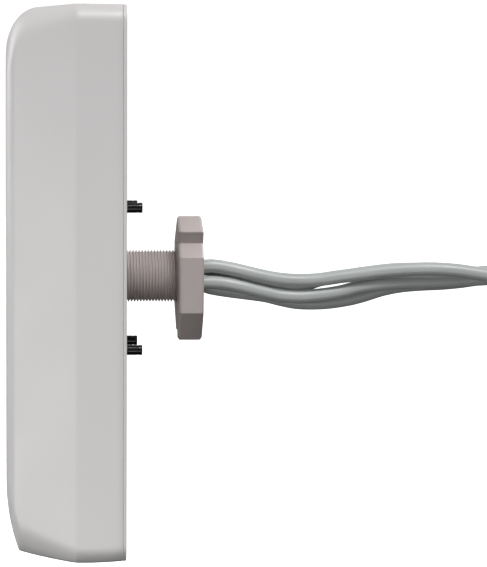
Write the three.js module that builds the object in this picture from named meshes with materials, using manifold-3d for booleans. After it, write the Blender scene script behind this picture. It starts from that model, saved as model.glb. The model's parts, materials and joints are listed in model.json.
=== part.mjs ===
// Wall-mount panel antenna: a radome on a flat back plate, a hollow threaded stem with its hand nut,
// and four coaxial pigtails that leave through the stem.
// Frame, in millimetres: +X points out of the back along the stem, +Z is up, Y runs across the width.
// The origin lies on the stem's axis, in the rear plane of the back plate.
import * as THREE from "three";
import { mergeVertices } from "three/addons/utils/BufferGeometryUtils.js";
import Module from "manifold-3d";

const wasm = await Module();
wasm.setup();

// --- Driving dimensions ---------------------------------------------------------------------------
const GAP = 0.3; // clearance between pieces that rest on each other

// Radome
const FRONT_X = -41.7; // middle of the front face
const REAR_HALF_WIDTH = 61.3;
const REAR_TOP = 95.9;
const CREASE_X = -16.4; // where the straight skirt meets the bevelled sides
const CREASE_HALF_WIDTH = 62;
const CREASE_TOP = 96;
const CREASE_LAND = 1; // depth of the crease's flat land
const BEVEL_SLOPE = 0.56; // sideways narrowing per millimetre of depth
const SIDE_ROUND_DEPTH = 3.6; // depth of the rounding at the end of the bevel
const SIDE_ROUND_INSET = 6.2;
const TOP_TAPER = 0.05; // lowering of the top wall per millimetre of depth
const TOP_ROUND_DEPTH = 11;
const TOP_ROUND_INSET = 15;
const BOTTOM = -97.1; // lowest line of the bowed bottom wall
const BOTTOM_X = -13; // depth of that line
const BOTTOM_BOW = 0.0035; // rise of the bottom wall per square millimetre of distance from it
const CHIN_DEPTH = 4.4; // the front face curls back by this much above the bottom wall
const CHIN_HEIGHT = 22;
const FACE_CROWN = 0.25;
const SKIRT_CORNER_RADIUS = 6.5;
const CORNER_GROWTH = 0.32; // plan corner radius gained per millimetre in front of the crease
const WALL = 2.6;
const LIP = 1.3; // thickness of the outer half of the rim, which hides the gasket

// Back plate and what closes the case
const FLANGE_THICKNESS = 1.2;
const PLATE_THICKNESS = 3;
const SPIGOT_INSET = WALL + 0.5;
const REBATE_X = -2.6;
const COVER_SCREWS = [[-47, 82], [47, 82], [-47, 0], [47, 0], [-47, -82], [47, -82]];
const BOSS_RADIUS = 3.6;
const COVER_SCREW_RADIUS = 1.35;
const COVER_SCREW_LENGTH = 12;

// Stem, hand nut and studs
const STEM_RADIUS = 9.525;
const STEM_END_X = 28.6;
const STEM_BORE = 7.9;
const STEM_FLANGE_HALF = 30;
const STEM_FLANGE_THICKNESS = 2.6;
const SEAL_THICKNESS = 0.7;
const NUT_NEAR_X = 20.1;
const NUT_FAR_X = 29.1;
const NUT_CHAMFER = 0.7;
const NUT_BORE = 9.9;
// One third of the nut's outline, as [across, up]; the other two thirds are turned by 120 degrees.
const NUT_LOBE = [[18, -12.8], [19.4, 7.4], [14.4, 12.4], [17.4, 16.8]];
const WASHER_NEAR_X = 20; // the washer lies in a recess in the nut's face
const WASHER_FAR_X = 20.7;
const WASHER_RADIUS = 12;
const STUD_OFFSET = 25.4; // half of the studs' 50.8 mm square
const STUD_RADIUS = 1.8;
const STUD_TIP_X = 6.6;

// Radiating parts
const GROUND_REAR_X = -21;
const GROUND_THICKNESS = 1;
const GROUND_HALF = [42.5, 75];
const STANDOFF_AT = [36, 68];
const PATCH_CENTRE = [21, 37];
const PATCH_HALF = [17, 27];
const PATCH_REAR_X = -30.2;
const PATCH_THICKNESS = 0.8;
const FEED_POINT = [21, 22];
const INNER_CABLE_X = -16; // depth at which the coaxes lie behind the ground plane
const FEED_PIN_RADIUS = 0.7;

// Pigtails
const CABLE_RADIUS = 2.5;
const CABLE_HOLE_RADIUS = 2.75;
const GROMMET_RADIUS = 7.6;
const GROMMET_NEAR_X = 22;
const GROMMET_FAR_X = 28.3;
const TIE_X = 143;
const BOOT_LENGTH = 22;

// Routes of the four free pigtails, from the stem's mouth to the plug.
const CABLE_ROUTES = [
  [
    [28.9, -2.85, 3.4], [33, -3, 3.75], [39, -3.2, 2.9], [43.4, -3.3, 1.95], [50.7, -3.45, 0.2],
    [58, -3.6, -1.15], [65.4, -3.9, -1.6], [72.8, -4.2, -1.2], [80, -4.7, -0.15], [87.5, -5.2, 0.8],
    [95, -5.8, 1.8], [104, -6.6, 2.5], [113, -7.4, 2.8], [122, -7.9, 2.3], [130, -8.1, 1.2],
    [136, -8.1, 0.2], [147, -8.1, -0.4], [158, -8.1, -3], [168.5, -8.3, -9.2], [176.5, -8.9, -18.5],
    [181.5, -10.2, -30.5], [183.5, -12.6, -45], [184, -16, -62], [184, -19.8, -80], [184, -23.4, -98],
    [184, -26, -116], [184, -27, -132], [184, -27, -144.4],
  ],
  [
    [28.9, -3, -2.5], [33, -2.9, -2.3], [39, -2.75, -2.9], [43.4, -2.7, -3.8], [50.7, -2.6, -5.6],
    [58, -2.6, -7.15], [65.4, -2.65, -7.6], [72.8, -2.7, -7], [80, -2.7, -5.9], [87.5, -2.7, -4.05],
    [95, -2.7, -3], [104, -2.7, -2.4], [113, -2.7, -2.2], [122, -2.7, -1.8], [130, -2.7, -1.3],
    [136, -2.7, -1], [147, -2.7, -1], [158, -2.7, -3.4], [168.5, -2.7, -9.4], [176.5, -2.9, -18.6],
    [181.5, -3.3, -30.5], [183.5, -4.1, -45], [184, -5.2, -62], [184, -6.5, -80], [184, -7.7, -98],
    [184, -8.6, -116], [184, -9, -132], [184, -9, -146.6],
  ],
  [
    [28.9, 3, -3.3], [33, 2.9, -4.6], [39, 2.8, -5.6], [47, 2.8, -6.65], [53, 2.8, -7.5],
    [58.7, 2.8, -8.9], [64, 2.8, -9.95], [70, 2.8, -10.25], [77, 2.8, -9.9], [84.6, 2.8, -8.7],
    [90, 2.8, -7.3], [96, 2.8, -5.4], [103, 2.75, -4], [111, 2.7, -3.3], [118, 2.7, -3], [125, 2.7, -2.4],
    [133, 2.7, -1.4], [147, 2.7, -1], [158, 2.7, -3.4], [168.5, 2.7, -9.4], [176.5, 2.9, -18.6],
    [181.5, 3.3, -30.5], [183.5, 4.1, -45], [184, 5.2, -62], [184, 6.5, -80], [184, 7.7, -98],
    [184, 8.6, -116], [184, 9, -132], [184, 9, -146],
  ],
  [
    [28.9, 3, 2.4], [33, 3.1, 2.3], [39, 3.3, 1.3], [47, 3.7, -0.9], [53, 4, -2.3], [59, 4.2, -3.5],
    [64.5, 4.5, -3.9], [69, 4.7, -3.2], [73, 5, -1.9], [78, 5.3, -1], [84, 5.7, -0.2], [92, 6.2, 0.9],
    [100, 6.7, 1.8], [109, 7.3, 2.1], [117, 7.8, 1.7], [125, 8.1, 0.7], [131, 8.1, 0.4], [136, 8.1, 0.9],
    [141, 8.1, 0.7], [147, 8.1, -0.1], [158, 8.1, -3], [168.5, 8.3, -9.2], [176.5, 8.9, -18.5],
    [181.5, 10.2, -30.5], [183.5, 12.6, -45], [184, 16, -62], [184, 19.8, -80], [184, 23.4, -98],
    [184, 26, -116], [184, 27, -132], [184, 27, -144],
  ],
];

// --- Colours and finishes -------------------------------------------------------------------------
function finish(color, roughness, metalness = 0) {
  return { color, roughness, metalness };
}

const RADOME_PLASTIC = finish(0xd3d0d0, 0.45);
const PLATE_PLASTIC = finish(0xc4c2c2, 0.5);
const STEM_PLASTIC = finish(0xa79c99, 0.5);
const BLACK_OXIDE = finish(0x141416, 0.35, 0.7);
const BLACK_RUBBER = finish(0x232425, 0.85);
const ALUMINIUM = finish(0xb9bcc0, 0.35, 1);
const BRASS = finish(0xb99a55, 0.35, 1);
const WHITE_NYLON = finish(0xe6e4dc, 0.5);
const STEEL = finish(0xa6a8aa, 0.3, 1);
const NICKEL = finish(0xc5c1b4, 0.25, 1);
const CABLE_JACKET = finish(0xa4adad, 0.45);

// --- Geometry helpers -----------------------------------------------------------------------------

/** Shares the corners of a closed geometry, drops triangles of no area and turns the faces outwards. */
function closed(geometry) {
  geometry.deleteAttribute("normal");
  geometry.deleteAttribute("uv");
  const merged = mergeVertices(geometry);
  const position = merged.getAttribute("position");
  const corners = [0, 1, 2].map(() => new THREE.Vector3());
  const triangles = [];
  let volume = 0;
  for (let i = 0; i < merged.index.count; i += 3) {
    const triangle = [0, 1, 2].map((k) => merged.index.getX(i + k));
    if (new Set(triangle).size < 3) continue;
    triangles.push(triangle);
    corners.forEach((corner, k) => corner.fromBufferAttribute(position, triangle[k]));
    volume += corners[0].dot(corners[1].clone().cross(corners[2]));
  }
  if (volume < 0) triangles.forEach((triangle) => triangle.reverse());
  const result = new THREE.BufferGeometry();
  result.setAttribute("position", position.clone());
  result.setIndex(triangles.flat());
  return result;
}

/** The manifold solid of a closed geometry. */
function solid(geometry) {
  const shape = closed(geometry);
  const vertProperties = new Float32Array(shape.getAttribute("position").array);
  const triVerts = new Uint32Array(shape.index.array);
  return new wasm.Manifold(new wasm.Mesh({ numProp: 3, vertProperties, triVerts }));
}

/** The geometry of a manifold solid. */
function geometryOf(shape) {
  const mesh = shape.getMesh();
  const geometry = new THREE.BufferGeometry();
  geometry.setAttribute("position", new THREE.BufferAttribute(mesh.vertProperties, 3));
  geometry.setIndex(new THREE.BufferAttribute(mesh.triVerts, 1));
  return geometry;
}

/** A closed body through rings of equal length, with a fan to the middle of each end ring. */
function loft(rings) {
  const count = rings[0].length;
  const points = rings.flat();
  const indices = [];
  for (let ring = 0; ring + 1 < rings.length; ring += 1) {
    for (let i = 0; i < count; i += 1) {
      const next = (i + 1) % count;
      const here = ring * count;
      indices.push(here + i, here + next, here + count + i);
      indices.push(here + next, here + count + next, here + count + i);
    }
  }
  for (const [start, flipped] of [[0, true], [(rings.length - 1) * count, false]]) {
    const middle = points.length;
    const sum = new THREE.Vector3();
    for (let i = 0; i < count; i += 1) sum.add(points[start + i]);
    points.push(sum.divideScalar(count));
    for (let i = 0; i < count; i += 1) {
      const next = (i + 1) % count;
      indices.push(middle, start + (flipped ? next : i), start + (flipped ? i : next));
    }
  }
  const geometry = new THREE.BufferGeometry().setFromPoints(points);
  geometry.setIndex(indices);
  return closed(geometry);
}

/** A body turned about the X axis from [x, radius] points that start and end on the axis. */
function turned(profile, segments = 24) {
  const points = profile.map(([x, radius]) => new THREE.Vector2(radius, x));
  return closed(new THREE.LatheGeometry(points, segments).rotateZ(-Math.PI / 2));
}

/** A plain round bar along X. */
function bar(nearX, farX, radius, segments = 24) {
  return turned([[nearX, 0], [nearX, radius], [farX, radius], [farX, 0]], segments);
}

/** A ring about the X axis. */
function ring(nearX, farX, innerRadius, outerRadius, segments = 32) {
  const profile = [
    [nearX, innerRadius], [nearX, outerRadius], [farX, outerRadius],
    [farX, innerRadius], [nearX, innerRadius],
  ];
  return turned(profile, segments);
}

/** A block from x, y and z ranges. */
function block([nearX, farX], [leftY, rightY], [lowZ, highZ]) {
  const geometry = new THREE.BoxGeometry(farX - nearX, rightY - leftY, highZ - lowZ);
  return closed(geometry.translate((nearX + farX) / 2, (leftY + rightY) / 2, (lowZ + highZ) / 2));
}

/** A round bar as a cutting or joining tool, centred on [y, z]. */
function barTool(nearX, farX, radius, [y, z], segments = 24) {
  return solid(bar(nearX, farX, radius, segments).translate(0, y, z));
}

/** A tube of round section along a smooth curve through the points. */
function tube(points, radius, steps, sides) {
  const curve = new THREE.CatmullRomCurve3(points.map((point) => new THREE.Vector3(...point)));
  const section = new THREE.Shape();
  for (let i = 0; i < sides; i += 1) {
    const angle = (2 * Math.PI * i) / sides;
    section[i ? "lineTo" : "moveTo"](radius * Math.cos(angle), radius * Math.sin(angle));
  }
  return closed(new THREE.ExtrudeGeometry(section, { steps, extrudePath: curve }));
}

const antenna = new THREE.Group();

function add(name, geometry, look, place = [0, 0, 0]) {
  const mesh = new THREE.Mesh(geometry, new THREE.MeshStandardMaterial({ ...look, flatShading: true }));
  mesh.name = name;
  mesh.position.set(...place);
  antenna.add(mesh);
  return mesh;
}

/** The four [y, z] places of a point repeated in every quadrant. */
function quadrants([y, z]) {
  return [[-y, z], [-y, -z], [y, -z], [y, z]];
}

// --- Radome ---------------------------------------------------------------------------------------

/** One ring of a rounded rectangle in the YZ plane. */
function panelRing(x, halfWidth, [bottom, top], radius) {
  const arcSteps = 4;
  const points = [];
  const corners = [[1, top - radius], [-1, top - radius], [-1, bottom + radius], [1, bottom + radius]];
  corners.forEach(([signY, centreZ], quarter) => {
    for (let i = 0; i <= arcSteps; i += 1) {
      const angle = (quarter + i / arcSteps) * (Math.PI / 2);
      const y = signY * (halfWidth - radius) + radius * Math.cos(angle);
      const z = centreZ + radius * Math.sin(angle);
      points.push(new THREE.Vector3(x, y, z));
    }
  });
  return points;
}

/** How far a quarter-ellipse rounding has drawn in, from 0 where it starts to inset at the face. */
function rounding(distanceToFace, depth, inset) {
  const along = THREE.MathUtils.clamp(1 - distanceToFace / depth, 0, 1);
  return inset * (1 - Math.sqrt(1 - along * along));
}

/** How far the bottom wall has drawn in where the front face curls back above it. */
function chin(distanceToFace) {
  return CHIN_HEIGHT * (1 - Math.sqrt(Math.min(distanceToFace / CHIN_DEPTH, 1)));
}

/** The radome's half width, bottom, top and plan corner radius at a depth. */
function radomeSection(x) {
  const toFace = x - FRONT_X;
  const skirt = THREE.MathUtils.clamp(x / CREASE_X, 0, 1);
  const pastCrease = Math.max(0, CREASE_X - CREASE_LAND - x);
  const skirtWidth = THREE.MathUtils.lerp(REAR_HALF_WIDTH, CREASE_HALF_WIDTH, skirt);
  const skirtTop = THREE.MathUtils.lerp(REAR_TOP, CREASE_TOP, skirt);
  return {
    halfWidth: skirtWidth - BEVEL_SLOPE * pastCrease - rounding(toFace, SIDE_ROUND_DEPTH, SIDE_ROUND_INSET),
    bottom: BOTTOM + BOTTOM_BOW * (x - BOTTOM_X) ** 2 + chin(toFace),
    top: skirtTop - TOP_TAPER * pastCrease - rounding(toFace, TOP_ROUND_DEPTH, TOP_ROUND_INSET),
    radius: SKIRT_CORNER_RADIUS + CORNER_GROWTH * pastCrease,
  };
}

/** A ring of the radome's outline at a depth, drawn in by an inset. */
function radomeRing(x, inset = 0, sectionX = x) {
  const { halfWidth, bottom, top, radius } = radomeSection(sectionX);
  return panelRing(x, halfWidth - inset, [bottom + inset, top - inset], Math.max(radius - inset, 1));
}

function radomeOuter(rearX) {
  const beforeFace = [TOP_ROUND_DEPTH, 7.2, CHIN_DEPTH, 2.4, 1.1, 0.35, 0.05];
  const depths = [rearX, CREASE_X / 2, CREASE_X, CREASE_X - CREASE_LAND, -24];
  depths.push(...beforeFace.map((depth) => FRONT_X + depth));
  const rings = depths.map((x) => radomeRing(x));
  const edge = radomeSection(depths.at(-1));
  const faceX = depths.at(-1) - FACE_CROWN / 2;
  const faceEnds = [edge.bottom * 0.6, edge.top * 0.6];
  rings.push(panelRing(faceX, edge.halfWidth * 0.55, faceEnds, edge.radius * 0.55));
  return loft(rings);
}

function radomeInner() {
  const depths = [1, CREASE_X + WALL, -24, -30, -34, -37, FRONT_X + WALL];
  return loft(depths.map((x) => radomeRing(x, WALL, Math.max(x - WALL, FRONT_X + 0.3))));
}

function makeRadome() {
  const rimX = -FLANGE_THICKNESS - GAP;
  const bossTop = -PLATE_THICKNESS - GAP;
  const outer = solid(radomeOuter(rimX));
  const rebate = solid(loft([radomeRing(1, LIP), radomeRing(REBATE_X, LIP)]));
  let shell = outer.subtract(solid(radomeInner())).subtract(rebate);
  for (const place of COVER_SCREWS) {
    const boss = barTool(bossTop, FRONT_X + WALL / 2, BOSS_RADIUS, place, 12).intersect(outer);
    const pilot = barTool(bossTop - COVER_SCREW_LENGTH - 1, 1, COVER_SCREW_RADIUS + GAP, place, 10);
    shell = shell.add(boss).subtract(pilot);
  }
  add("radome", geometryOf(shell), RADOME_PLASTIC);
}

// --- Back plate, gasket and cover screws ----------------------------------------------------------

function makeBackPlate() {
  const flange = solid(loft([radomeRing(-FLANGE_THICKNESS), radomeRing(0)]));
  const spigot = solid(loft([radomeRing(-PLATE_THICKNESS, SPIGOT_INSET), radomeRing(-0.5, SPIGOT_INSET)]));
  let plate = flange.add(spigot).subtract(barTool(-5, 1, STEM_RADIUS + GAP + 0.1, [0, 0], 32));
  for (const place of quadrants([STUD_OFFSET, STUD_OFFSET])) {
    plate = plate.subtract(barTool(-5, 1, STUD_RADIUS + GAP, place, 12));
  }
  const countersink = [[-5, 0], [-5, 1.8], [-1.9, 1.8], [0.1, 3.6], [0.1, 0]];
  for (const [y, z] of COVER_SCREWS) {
    plate = plate.subtract(solid(turned(countersink, 14).translate(0, y, z)));
  }
  add("back_plate", geometryOf(plate), PLATE_PLASTIC);

  const gasketNear = REBATE_X + 0.25;
  const gasketFar = -FLANGE_THICKNESS - GAP;
  const gasketOuter = solid(loft([radomeRing(gasketNear, LIP + 0.2), radomeRing(gasketFar, LIP + 0.2)]));
  const gasketInner = solid(
    loft([radomeRing(gasketNear - 1, WALL + 0.1), radomeRing(gasketFar + 1, WALL + 0.1)]),
  );
  add("rim_gasket", geometryOf(gasketOuter.subtract(gasketInner)), BLACK_RUBBER);

  const headX = -GAP;
  const tipX = headX - COVER_SCREW_LENGTH;
  const screw = [
    [tipX, 0], [tipX, 0.8], [tipX + 1.2, 1.35], [-2, 1.35], [-1.7, 1.5], [headX, 2.9], [headX, 0],
  ];
  COVER_SCREWS.forEach(([y, z], i) => add(`cover_screw_${i + 1}`, turned(screw, 12), STEEL, [0, y, z]));
}

// --- Stem, seal, hand nut, washer and studs -------------------------------------------------------

function makeStem() {
  const sealNear = -PLATE_THICKNESS - GAP - SEAL_THICKNESS;
  const flangeFar = sealNear - GAP;
  const flangeNear = flangeFar - STEM_FLANGE_THICKNESS;
  const half = STEM_FLANGE_HALF;
  const lead = 0.8; // chamfer at the end of the thread
  const profile = [
    [flangeFar - 1, 0], [flangeFar - 1, STEM_RADIUS], [STEM_END_X - lead, STEM_RADIUS],
    [STEM_END_X, STEM_RADIUS - lead], [STEM_END_X, 0],
  ];
  const flangeRings = [flangeNear, flangeFar].map((x) => panelRing(x, half, [-half, half], 4));
  let stem = solid(loft(flangeRings)).add(solid(turned(profile, 36)));
  stem = stem.subtract(barTool(flangeNear - 1, STEM_END_X + 1, STEM_BORE, [0, 0], 24));
  for (const place of quadrants([STUD_OFFSET, STUD_OFFSET])) {
    stem = stem.subtract(barTool(flangeNear - 1, flangeFar + 1, STUD_RADIUS + GAP, place, 12));
  }
  add("threaded_stem", geometryOf(stem), STEM_PLASTIC);
  const sealFar = sealNear + SEAL_THICKNESS;
  add("stem_seal", ring(sealNear, sealFar, STEM_RADIUS + 0.6, STEM_RADIUS + 5, 20), BLACK_RUBBER);

  const headFar = flangeNear - GAP;
  const stud = [
    [headFar - 1.4, 0], [headFar - 1.4, 3.2], [headFar, 3.2], [headFar, STUD_RADIUS], [4.8, STUD_RADIUS],
    [4.9, 1.65], [5.1, 1.65], [5.2, STUD_RADIUS], [STUD_TIP_X - 0.2, STUD_RADIUS], [STUD_TIP_X, 1.6],
    [STUD_TIP_X, 0],
  ];
  quadrants([STUD_OFFSET, STUD_OFFSET]).forEach(([y, z], i) => {
    add(`rear_stud_${i + 1}`, turned(stud, 12), BLACK_OXIDE, [0, y, z]);
  });
}

function nutRing(x, inset) {
  const third = (2 * Math.PI) / 3;
  const points = [];
  for (let turn = 0; turn < 3; turn += 1) {
    for (const [across, up] of NUT_LOBE) {
      const radius = Math.hypot(across, up) - inset;
      const angle = Math.atan2(up, across) + turn * third;
      points.push(new THREE.Vector3(x, -radius * Math.cos(angle), radius * Math.sin(angle)));
    }
  }
  return points;
}

function makeNut() {
  const rings = [
    nutRing(NUT_NEAR_X, NUT_CHAMFER), nutRing(NUT_NEAR_X + NUT_CHAMFER, 0),
    nutRing(NUT_FAR_X - NUT_CHAMFER, 0), nutRing(NUT_FAR_X, NUT_CHAMFER),
  ];
  const recess = WASHER_RADIUS + GAP + 0.1;
  const flare = 0.8; // chamfer at the far mouth of the bore
  const bore = [
    [NUT_NEAR_X - 0.2, 0], [NUT_NEAR_X - 0.2, recess],
    [WASHER_FAR_X + GAP, recess], [WASHER_FAR_X + GAP, NUT_BORE],
    [NUT_FAR_X - flare, NUT_BORE], [NUT_FAR_X + 0.2, NUT_BORE + flare], [NUT_FAR_X + 0.2, 0],
  ];
  add("clamp_nut", geometryOf(solid(loft(rings)).subtract(solid(turned(bore, 36)))), STEM_PLASTIC);
  add("nut_washer", ring(WASHER_NEAR_X, WASHER_FAR_X, NUT_BORE, WASHER_RADIUS, 32), STEM_PLASTIC);
}

// --- Ground plane, radiating patches and their fixings --------------------------------------------

function makeRadiator() {
  const groundFront = GROUND_REAR_X - GROUND_THICKNESS;
  const patchFront = PATCH_REAR_X - PATCH_THICKNESS;
  const neck = 1.4;
  const hole = neck + GAP;
  const button = 2.5;
  const buttonHeight = 0.9;
  const rearButtonNear = GROUND_REAR_X + GAP;
  const [halfY, halfZ] = GROUND_HALF;
  let ground = solid(block([groundFront, GROUND_REAR_X], [-halfY, halfY], [-halfZ, halfZ]));
  const drill = (radius, place) => {
    ground = ground.subtract(barTool(groundFront - 1, GROUND_REAR_X + 1, radius, place, 8));
  };
  quadrants(STANDOFF_AT).forEach((place) => drill(hole, place));
  quadrants(PATCH_CENTRE).forEach((place) => drill(hole, place));
  quadrants(FEED_POINT).forEach((place) => drill(2.2, place));
  add("ground_plane", geometryOf(ground), ALUMINIUM);

  const standoff = [
    [groundFront - GAP - buttonHeight, 0], [groundFront - GAP - buttonHeight, button],
    [groundFront - GAP, button],
    [groundFront - GAP, neck], [rearButtonNear, neck], [rearButtonNear, 3], [-PLATE_THICKNESS - GAP, 3],
    [-PLATE_THICKNESS - GAP, 0],
  ];
  const spacer = [
    [patchFront - GAP - buttonHeight, 0], [patchFront - GAP - buttonHeight, button],
    [patchFront - GAP, button],
    [patchFront - GAP, neck], [PATCH_REAR_X + GAP, neck], [PATCH_REAR_X + GAP, 4], [groundFront - GAP, 4],
    [groundFront - GAP, neck], [rearButtonNear, neck], [rearButtonNear, button],
    [rearButtonNear + buttonHeight, button], [rearButtonNear + buttonHeight, 0],
  ];
  const pinRear = INNER_CABLE_X - CABLE_RADIUS - GAP;
  const pin = bar(patchFront - 0.6, pinRear, FEED_PIN_RADIUS, 8);
  const feedOffsetZ = FEED_POINT[1] - PATCH_CENTRE[1];
  const feedPlaces = quadrants(FEED_POINT);
  const standoffPlaces = quadrants(STANDOFF_AT);
  quadrants(PATCH_CENTRE).forEach(([y, z], i) => {
    const up = Math.sign(z);
    const [patchY, patchZ] = PATCH_HALF;
    let patch = solid(block([patchFront, PATCH_REAR_X], [-patchY, patchY], [-patchZ, patchZ]));
    patch = patch.subtract(barTool(patchFront - 1, PATCH_REAR_X + 1, hole, [0, 0], 8));
    const feedHole = [0, up * feedOffsetZ];
    patch = patch.subtract(barTool(patchFront - 1, PATCH_REAR_X + 1, FEED_PIN_RADIUS + GAP, feedHole, 8));
    add(`patch_${i + 1}`, geometryOf(patch), BRASS, [0, y, z]);
    add(`patch_spacer_${i + 1}`, turned(spacer, 10), WHITE_NYLON, [0, y, z]);
    add(`feed_pin_${i + 1}`, pin.clone(), BRASS, [0, ...feedPlaces[i]]);
    add(`standoff_${i + 1}`, turned(standoff, 10), WHITE_NYLON, [0, ...standoffPlaces[i]]);
  });
}

// --- Pigtails, grommet, tie and plugs -------------------------------------------------------------

function makeCables() {
  const feedPlaces = quadrants(FEED_POINT);
  const cableEndX = GROMMET_NEAR_X - GAP;
  let grommet = solid(bar(GROMMET_NEAR_X, GROMMET_FAR_X, GROMMET_RADIUS, 32));
  CABLE_ROUTES.forEach((route, i) => {
    const [, exitY, exitZ] = route[0];
    const cableHole = barTool(GROMMET_NEAR_X - 1, GROMMET_FAR_X + 1, CABLE_HOLE_RADIUS, [exitY, exitZ], 12);
    grommet = grommet.subtract(cableHole);
    const [feedY, feedZ] = feedPlaces[i];
    const between = (share) => [
      THREE.MathUtils.lerp(exitY, feedY, share),
      THREE.MathUtils.lerp(exitZ, feedZ, share),
    ];
    const inner = [
      [cableEndX, exitY, exitZ], [10, exitY, exitZ], [0, exitY, exitZ], [-5, exitY, exitZ],
      [-9.5, ...between(0.05)],
      [-13, ...between(0.18)], [-15.2, ...between(0.38)], [INNER_CABLE_X, ...between(0.66)],
      [INNER_CABLE_X, ...between(1)],
    ];
    add(`inner_coax_${i + 1}`, tube(inner, CABLE_RADIUS, 16, 8), CABLE_JACKET);
    add(`cable_lead_${i + 1}`, tube(route, CABLE_RADIUS, 28, 8), CABLE_JACKET);
  });
  add("cable_grommet", geometryOf(grommet), BLACK_RUBBER);
}

function makeTie() {
  const inner = [10.9, 3.5];
  const band = 1.1;
  const halfWidth = 1.8;
  const [y, z] = inner;
  const rings = (grow) => [-halfWidth - grow, halfWidth + grow];
  const outside = rings(0).map((x) => panelRing(TIE_X + x, y + band, [-z - band, z + band], 3.4));
  const opening = rings(1).map((x) => panelRing(TIE_X + x, y, [-z, z], 2.6));
  const head = block([TIE_X - 2.6, TIE_X + 2.6], [2, 7], [z + 0.4, z + 5]);
  const tie = solid(loft(outside)).add(solid(head)).subtract(solid(loft(opening)));
  const placed = geometryOf(tie).translate(0, 0, -0.4);
  add("cable_tie", placed, WHITE_NYLON);
}

function makePlugs() {
  // Along the plug's own axis, counted from the cable's end face towards the mating face.
  const boot = [[GAP, 0], [GAP, 2.9], [5, 3.6], [BOOT_LENGTH, 3.7], [BOOT_LENGTH, 0]];
  const bodyStart = BOOT_LENGTH + GAP;
  const body = [
    [bodyStart, 0], [bodyStart, 3.3], [bodyStart + 3, 3.3], [bodyStart + 3, 5.4], [bodyStart + 8, 5.4],
    [bodyStart + 8, 4.3], [bodyStart + 21, 4.3], [bodyStart + 21, 3.5], [bodyStart + 12, 3.5],
    [bodyStart + 12, 0.6], [bodyStart + 19, 0.6], [bodyStart + 19, 0],
  ];
  const collarStart = bodyStart + 8 + GAP;
  const collarEnd = bodyStart + 22.5;
  const collar = [
    [collarStart, 4.7], [collarStart, 6.6], [collarStart + 0.7, 7.3], [collarStart + 8, 7.3],
    [collarStart + 8.4, 6.7], [collarEnd, 6.7], [collarEnd, 5.7],
    [collarStart + 3, 5.7], [collarStart + 3, 4.7],
    [collarStart, 4.7],
  ];
  CABLE_ROUTES.forEach((route, i) => {
    const end = route.at(-1);
    const hang = (geometry) => geometry.rotateY(Math.PI / 2);
    add(`plug_boot_${i + 1}`, hang(turned(boot, 12)), BLACK_RUBBER, end);
    add(`plug_body_${i + 1}`, hang(turned(body, 14)), NICKEL, end);
    add(`plug_collar_${i + 1}`, hang(turned(collar, 16)), NICKEL, end);
  });
}

makeRadome();
makeBackPlate();
makeStem();
makeNut();
makeRadiator();
makeCables();
makeTie();
makePlugs();

export default antenna;
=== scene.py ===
import json
import math

import bmesh
import bpy
from mathutils import Matrix, Vector


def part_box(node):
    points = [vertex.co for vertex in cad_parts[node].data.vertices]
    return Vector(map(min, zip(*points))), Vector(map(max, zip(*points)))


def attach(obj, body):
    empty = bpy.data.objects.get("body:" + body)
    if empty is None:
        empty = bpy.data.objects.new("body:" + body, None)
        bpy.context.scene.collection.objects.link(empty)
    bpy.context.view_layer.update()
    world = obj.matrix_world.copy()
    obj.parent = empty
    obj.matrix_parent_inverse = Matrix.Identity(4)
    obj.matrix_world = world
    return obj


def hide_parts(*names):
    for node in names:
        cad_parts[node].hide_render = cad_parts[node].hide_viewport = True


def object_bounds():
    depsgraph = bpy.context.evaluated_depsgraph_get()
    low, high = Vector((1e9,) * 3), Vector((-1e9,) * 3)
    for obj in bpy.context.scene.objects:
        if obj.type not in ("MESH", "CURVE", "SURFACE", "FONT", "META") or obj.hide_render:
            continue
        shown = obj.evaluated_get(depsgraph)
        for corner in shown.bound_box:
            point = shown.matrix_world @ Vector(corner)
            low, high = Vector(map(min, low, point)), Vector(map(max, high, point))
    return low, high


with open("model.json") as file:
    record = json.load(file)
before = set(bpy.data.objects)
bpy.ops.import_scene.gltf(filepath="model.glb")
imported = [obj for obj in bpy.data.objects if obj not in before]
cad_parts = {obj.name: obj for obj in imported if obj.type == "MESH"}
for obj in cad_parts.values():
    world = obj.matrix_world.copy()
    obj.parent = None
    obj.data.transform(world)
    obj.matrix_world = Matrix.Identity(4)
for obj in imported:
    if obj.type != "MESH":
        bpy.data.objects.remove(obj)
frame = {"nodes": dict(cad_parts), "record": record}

# Looks of the wall-mount panel antenna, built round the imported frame. Shapes are worked out in
# millimetres in the row's frame (+X out of the back along the stem, +Z up) and scaled to metres.
MM = 0.001
cad_low, cad_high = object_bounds()

# ---------------------------------------------------------------------------------------------
# Sizes that follow the frame
# ---------------------------------------------------------------------------------------------
FRONT_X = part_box("radome")[0][0] / MM
CREASE_HALF_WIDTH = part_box("radome")[1][1] / MM
CREASE_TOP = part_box("radome")[1][2] / MM
PLATE_REAR_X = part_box("back_plate")[1][0] / MM
STEM_END_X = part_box("threaded_stem")[1][0] / MM
STEM_INNER_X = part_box("threaded_stem")[0][0] / MM
NUT_NEAR_X, NUT_FAR_X = (corner[0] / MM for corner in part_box("clamp_nut"))
WASHER_NEAR_X, WASHER_FAR_X = (corner[0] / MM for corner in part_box("nut_washer"))
STUD_TIP_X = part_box("rear_stud_1")[1][0] / MM
STUD_HEAD_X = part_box("rear_stud_1")[0][0] / MM
SCREW_HEAD_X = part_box("cover_screw_1")[1][0] / MM
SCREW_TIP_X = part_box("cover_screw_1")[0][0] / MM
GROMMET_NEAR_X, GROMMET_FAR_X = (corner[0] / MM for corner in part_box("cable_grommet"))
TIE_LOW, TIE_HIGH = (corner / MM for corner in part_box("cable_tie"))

# The radome's form, the same as the frame's
FACE_X = FRONT_X + 0.075  # edge of the faintly crowned face
REAR_HALF_WIDTH = 61.3
REAR_TOP = 95.9
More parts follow.
